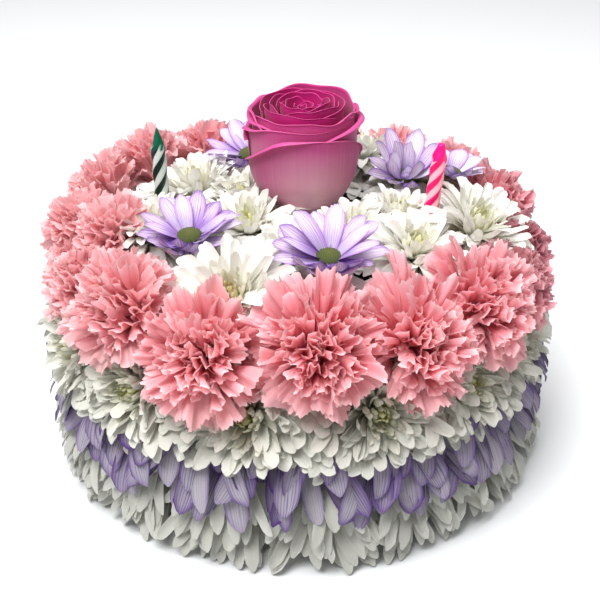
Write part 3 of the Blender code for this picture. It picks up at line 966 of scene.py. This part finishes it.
def evenly(values, t):
    """Values given evenly from end to end, at t from -1 to 1, with their corners rounded."""
    fine = np.linspace(-1.3, 1.3, 261)
    return np.interp(t, fine, smoothed(np.interp(fine, np.linspace(-1, 1, len(values)), values)))


def tapered(left, right):
    """A fall that comes in only towards the ends of a petal."""
    return left, 0.22 * left, 0.0, 0.22 * right, right


# How far round a rim rolls outwards, in degrees
ROLL = 155.0


def rose_sheet(middle, span, profile, fall, tuck, wave, lip, columns=27, rows=30):
    """A petal wrapped round the rose's axis. middle and span are degrees about the axis;
    profile is points (distance, height) from base to rim; fall is how much shorter the
    petal is, and lip how far its rim rolls outwards, each given evenly from end to end;
    tuck draws the ends in or out; all in millimetres. The share of the lip comes last."""
    t = np.linspace(-1, 1, columns)[None, :]
    v = 1 - (1 - np.linspace(0, 1, rows)[:, None]) ** 1.5
    knots = np.array(profile, float)
    steps = np.concatenate([[0], np.cumsum(np.linalg.norm(np.diff(knots, axis=0), axis=1))])
    fine = np.linspace(0, steps[-1], 200)
    far, high = (smoothed(np.interp(fine, steps, knots[:, axis])) for axis in (0, 1))
    bend = evenly(lip, t) / 2
    ripple = wave * np.sin(2.6 * np.pi * t + middle)
    start = steps[-1] - evenly(fall, t) + ripple - bend
    arc = math.radians(ROLL) * bend
    walk = v * (start + arc)
    rolled = np.clip((walk - start) / np.maximum(arc, 0.1), 0, 1)
    radius = np.interp(np.minimum(walk, start), fine, far)
    height = np.interp(np.minimum(walk, start), fine, high)
    swing = math.radians(ROLL) * rolled
    radius = radius + bend * (1 - np.cos(swing)) + 0.5 * wave * v**4 * np.cos(3.4 * np.pi * t + middle)
    radius = radius + tuck[0] * (1 - t) / 2 + tuck[1] * (1 + t) / 2
    height = height + bend * np.sin(swing)
    turn = np.radians(middle + span / 2 * t) + 0 * v
    points = np.stack([radius * np.cos(turn), radius * np.sin(turn), height], -1)
    share = np.clip(3 * rolled, 0, 1) * np.clip((bend - 0.3) / 1.3, 0, 1)
    return points[None], (v + 0 * t)[None], (t + 0 * v)[None], share[None]


# Outer petals: middle, span, rim height, belly, fall, tuck, wave, lip
ROSE_CUPS = [
    (100, 190, 156, 27.0, tapered(8, 8), (-0.6, 0.6), 0.6, (2.4, 2.4, 2.4)),
    (172, 170, 160.5, 26.0, (6, 2, 0, 0.5, 6), (0.3, -2.6), 0.7, (2.0, 2.4, 3.4, 2.6, 0.2)),
    (10, 190, 160, 26.4, (8, 2.5, 0.5, 1, 2, 3, 5), (-0.2, 0.4), 0.5,
     (0.8, 2.6, 3.6, 3.4, 2.6, 2.2, 2.0)),
    (-125, 170, 160.5, 26.6, (13, 5.5, 0.6, 0.6, 2), (0.8, -1.6), 0.4, (2.6, 3.6, 0.8, 0.4, 0.4)),
    (-78, 205, 156.8, 27.6, (22, 12, 0.8, 0.0, 3.0, 11, 26), (0.3, 0.3), 0.3,
     (1.0, 4.6, 4.6, 0.4, 0.8, 1.6, 1.6)),
]
# The bud's own flared petals: middle, span, rim height, fall, lip
ROSE_BUD = [
    (168, 140, 163.5, tapered(5, 7), (3.0, 2.4, 0.3)),
    (60, 150, 167.0, tapered(5, 5), (1.0, 1.0, 1.0)),
    (-22, 120, 164.0, tapered(8, 5), (0.3, 1.2, 3.0)),
    (-100, 150, 163.5, tapered(3, 2), (0.8, 0.6, 0.6)),
]
# Whorls to the heart: distance, rim height, span, count
ROSE_WHORLS = [
    (20.6, 166.0, 150, 3), (16.6, 166.8, 150, 3), (12.6, 166.6, 160, 3), (8.8, 166.0, 170, 2),
    (5.4, 165.0, 190, 2), (2.6, 164.0, 240, 2),
]


def rose(rng):
    """Outer petals that cup the bud, the bud's flared petals, and whorls to the heart."""
    bunch = Bunch()

    def add(layer, *shape):
        points, s, t, rolled = rose_sheet(*shape)
        bunch.sheets(points, t / 2 + 0.5, s, rng.uniform(0, 1), layer, rolled)

    for middle, span, rim, belly, fall, tuck, wave, lip in ROSE_CUPS:
        profile = [
            (6, 104.5), (12, 109.5), (17.5, 114.5), (21.5, 119.5), (belly - 1.2, 130), (belly, 141),
            (belly + 0.2, rim - 4), (belly + 0.6, rim),
        ]
        add(0.0, middle, span, profile, fall, tuck, wave, lip)
    for middle, span, rim, fall, lip in ROSE_BUD:
        profile = [(16, 136), (22.5, 144), (24.8, 152), (24.8, rim - 4), (24.6, rim)]
        add(0.6, middle, span, profile, fall, (-0.8, 1.2), 0.9, lip)
    turn = 15.0
    for far, top, span, count in ROSE_WHORLS:
        for _ in range(count):
            rim = top + rng.uniform(-0.5, 0.5)
            low = (max(far - 5, 0.6), 146)
            profile = [low, (far - 1.0, 155), (far - 0.2, rim - 3), (far - 0.5, rim)]
            fall = tapered(rng.uniform(2, 4), rng.uniform(2, 4))
            add(1.0, turn, span, profile, fall, (-1.5, 1.1), 0.5, (0.5, 0.4, 0.3))
            turn += 360 / count + rng.uniform(-12, 12)
        turn += 55
    return bunch


# Candles

CANDLE_LOBES = 3
CANDLE_COLUMNS = 48
CANDLE_ROWS = 76
# Where the rings of the pointed tip are, as shares of its length; the last two close it
TIP_RINGS = np.array([0.04, 0.3, 0.55, 0.8, 0.95, 1.0, 1.0])


def candle(ends, pitch, tip_length, tip_width, solid_length):
    """A candle whose stripes wind once round in pitch; their phase is kept across, and the
    solid end as layer."""
    base, tip = Vector(ends[0]), Vector(ends[1])
    length = (tip - base).length
    shoulder = length - tip_length
    rings = (np.linspace(0, shoulder, CANDLE_ROWS), shoulder + tip_length * TIP_RINGS)
    height = np.concatenate(rings)[:, None]
    end = (height - shoulder) / tip_length
    drawn_in = CANDLE_RADIUS * 1.02 + (tip_width - CANDLE_RADIUS) * end
    reach = np.where(end > 0, drawn_in, CANDLE_RADIUS)
    reach[-1] = 0.02
    turn = np.linspace(0, 2 * np.pi, CANDLE_COLUMNS + 1)[None, :]
    lobe = (1 - np.cos(CANDLE_LOBES * turn)) / 2
    far = reach * (1 - 0.17 * lobe**1.5 * np.clip(1 - end, 0, 1))
    points = round_axis(turn + 2 * np.pi * height / pitch, far, height)
    phase = CANDLE_LOBES * turn / (2 * np.pi) + 0 * height
    edge = length - solid_length + 0.6 * np.cos(2 * CANDLE_LOBES * turn)
    solid = np.clip((height - edge) / 0.5 + 0.5, 0, 1)
    bunch = Bunch()
    bunch.sheets(points[None], phase[None], (height / length)[None], 0.0, solid[None], 0.0)
    return bunch, base, (tip - base).normalized()


# Putting it together

def dress(piece, node):
    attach(piece, "root")
    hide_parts(node)


def make_carnations():
    pink = carnation_material()
    for number, (azimuth, reach, height, radius) in enumerate(CARNATIONS, 1):
        rng = chance(1, number)
        name = f"carnation_{number:02d}"
        place = outward(azimuth) * reach + Vector((0, 0, height))
        # Painted light, or below 0 painted shade, for this azimuth
        painted_light_and_shade = np.interp(azimuth, *zip(*PAINTED_LIGHT_AND_SHADE), period=360)
        front = -math.sin(math.radians(azimuth)) > 0.5
        size = radius * SMALLER.get(number, FRONT_SHARE if front else SIDE_SHARE)
        facing = tilted(azimuth + rng.uniform(-7, 7), CARNATION_TILT + rng.uniform(-6, 6))
        flower = carnation(rng, size, painted_light_and_shade, RAISED.get(number, 0.0))
        dress(flower.make(name + "_petals", [pink], place, facing), name)


def make_upper_row():
    # A copy of the white in painted shade, with near-black painted shade where its petals start
    white = white_material(
        "side white petal in painted shade", shade=(0.765, 0.77, 0.745), depth=(0.05, 0.055, 0.02),
        heart_deep=(0.50, 0.50, 0.05), through=0.18,
    )
    for number in range(1, UPPER_HEADS + 1):
        name = f"upper_mum_{number:02d}"
        low, high = (np.array(corner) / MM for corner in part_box(name))
        azimuth = math.degrees(math.atan2(low[1] + high[1], low[0] + high[0]))
        head = upper_head(chance(2, number), azimuth)
        dress(head.make(name + "_petals", [white]), name)


def make_top_mums():
    white = white_material(
        "white petal", shade=(0.98, 0.98, 1.0), depth=(0.45, 0.46, 0.22),
        heart_deep=(0.42, 0.44, 0.06), through=0.28,
    )
    for number, (x, y, radius, azimuth, elevation) in enumerate(TOP_MUMS, 1):
        rng = chance(3, number)
        name = f"top_mum_{number:02d}"
        place, axis = (x, y, TOP_MUM_HEIGHT), tilted(azimuth, elevation)
        flower = mum(rng, radius, breadth=0.86, crowd=1.12, incurve=0, cups=(0.2, 0.8))
        add_skirt(rng, flower, place, radius, axis)
        dress(flower.make(name + "_petals", [white], place, axis), name)


def make_top_daisies():
    lavender = lavender_material(
        "lavender petal", body=(0.76, 0.63, 0.80), deep=(0.33, 0.12, 0.52), shade=0.96, lines=0.9,
    )
    disc = disc_material()
    for number, (x, y, radius, azimuth, elevation, pale) in enumerate(TOP_DAISIES, 1):
        name = f"top_daisy_{number:02d}"
        place, axis = (x, y, TOP_DAISY_HEIGHT), tilted(azimuth, elevation)
        front = axis.to_track_quat("Z", "Y").inverted() @ Vector((0, -1, 0))
        layers = HALF_CLOSED_DAISY if number == CUPPED_DAISY else OPEN_DAISY
        flower = top_daisy(chance(4, number), radius, math.atan2(front.y, front.x), layers, pale)
        dress(flower.make(name + "_petals", [lavender, disc], place, axis), name)


def make_rings():
    """The two rows that are one ring each."""
    # A copy of the white in deeper painted shade, with near-black painted shade where its petals start
    white = white_material(
        "low white petal in painted shade", shade=(0.63, 0.64, 0.625), depth=(0.06, 0.06, 0.02),
        heart_deep=(0.5, 0.5, 0.05), through=0.26,
    )
    # A copy of the lavender, darkened by painted shade
    lavender = lavender_material(
        "side lavender petal in painted shade", body=(0.68, 0.62, 0.74), deep=(0.17, 0.07, 0.36), shade=0.55,
        lines=0.8,
    )
    piece = lower_row(chance(5)).make("lower_mum_row_petals", [white])
    dress(piece, "lower_mum_row")
    piece = lavender_row(chance(6)).make("lavender_daisy_row_petals", [lavender])
    dress(piece, "lavender_daisy_row")


def make_rose():
    piece = rose(chance(7)).make("rose_petals", [rose_material()], (*ROSE_PLACE, 0.0))
    dress(piece, "rose")


def make_candles():
    for colour, shape in CANDLES.items():
        name, slot = f"{colour}_candle", f"{colour}_wax"
        wax = wax_material(f"{colour} wax", *WAXES[colour])
        body, base, axis = candle(*shape)
        dress(body.make(name + "_wax", [wax], base, axis), name)


def dress_foam():
    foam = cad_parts["foam_core"]
    foam.data.materials.clear()
    foam.data.materials.append(foam_material())


FLOOR_HALF = 6.0
FLOOR_COLOUR = (0.77, 0.78, 0.79)
SKY_LOW = 0.10
SKY_OVERHEAD = 0.72
# Name, place, side of the square and watts of each lamp, and where they point
LAMPS = [("key", (-0.38, -0.50, 1.12), 0.6, 15.0), ("top", (-0.04, 0.02, 1.25), 0.8, 12.5)]
LAMP_AIM = Vector((0, 0, 0.08))


def make_floor():
    corners = [(-1, -1), (1, -1), (1, 1), (-1, 1)]
    mesh = bpy.data.meshes.new("floor")
    mesh.from_pydata([(FLOOR_HALF * x, FLOOR_HALF * y, 0) for x, y in corners], [], [(0, 1, 2, 3)])
    floor = bpy.data.objects.new("floor", mesh)
    bpy.context.scene.collection.objects.link(floor)
    material, tree = new_material("floor")
    shader = add_node(tree, "ShaderNodeBsdfPrincipled", Base_Color=FLOOR_COLOUR, Roughness=0.7)
    finish_material(tree, shader)
    mesh.materials.append(material)


def make_lamps():
    for name, place, size, power in LAMPS:
        light = bpy.data.lights.new(name, "AREA")
        light.size = size
        light.energy = power
        lamp = bpy.data.objects.new(name, light)
        lamp.location = place
        lamp.rotation_euler = (LAMP_AIM - lamp.location).to_track_quat("-Z", "Y").to_euler()
        bpy.context.scene.collection.objects.link(lamp)


def make_sky():
    """Plain white light that is brightest overhead."""
    world = bpy.data.worlds.new("studio")
    world.use_nodes = True
    tree = world.node_tree
    place = tree.nodes.new("ShaderNodeTexCoord")
    height = add_node(tree, "ShaderNodeSeparateXYZ", Vector=place.outputs["Generated"]).outputs[2]
    background = tree.nodes["Background"]
    give(tree, background.inputs[0], (1.0, 1.0, 1.0))
    give(tree, background.inputs[1], Value(tree, height).above(0.0) * SKY_OVERHEAD + SKY_LOW)
    bpy.context.scene.world = world


# The camera: degrees above the level, metres from its target, and the focal length and the
# side of the picture in pixels
CAMERA_RISE = 30.3
CAMERA_DISTANCE = 0.538
CAMERA_TARGET = Vector((0.0013, 0.0, 0.0675))
FOCAL_PIXELS = 1046.0
PICTURE_PIXELS = 600.0


def make_camera():
    """The photograph's view, fitted to the outline of the cake."""
    camera = bpy.data.cameras.new("camera")
    camera.lens = camera.sensor_width * FOCAL_PIXELS / PICTURE_PIXELS
    camera.clip_start = 0.01
    rig = bpy.data.objects.new("camera", camera)
    rig.location = CAMERA_TARGET + tilted(-90, CAMERA_RISE) * CAMERA_DISTANCE
    rig.rotation_euler = (math.radians(90 - CAMERA_RISE), 0.0, 0.0)
    bpy.context.scene.collection.objects.link(rig)
    bpy.context.scene.camera = rig


make_camera()
make_floor()
make_sky()
make_lamps()
make_carnations()
make_upper_row()
make_top_mums()
make_top_daisies()
make_rings()
make_rose()
make_candles()
dress_foam()
bpy.context.scene.view_settings.view_transform = "Standard"
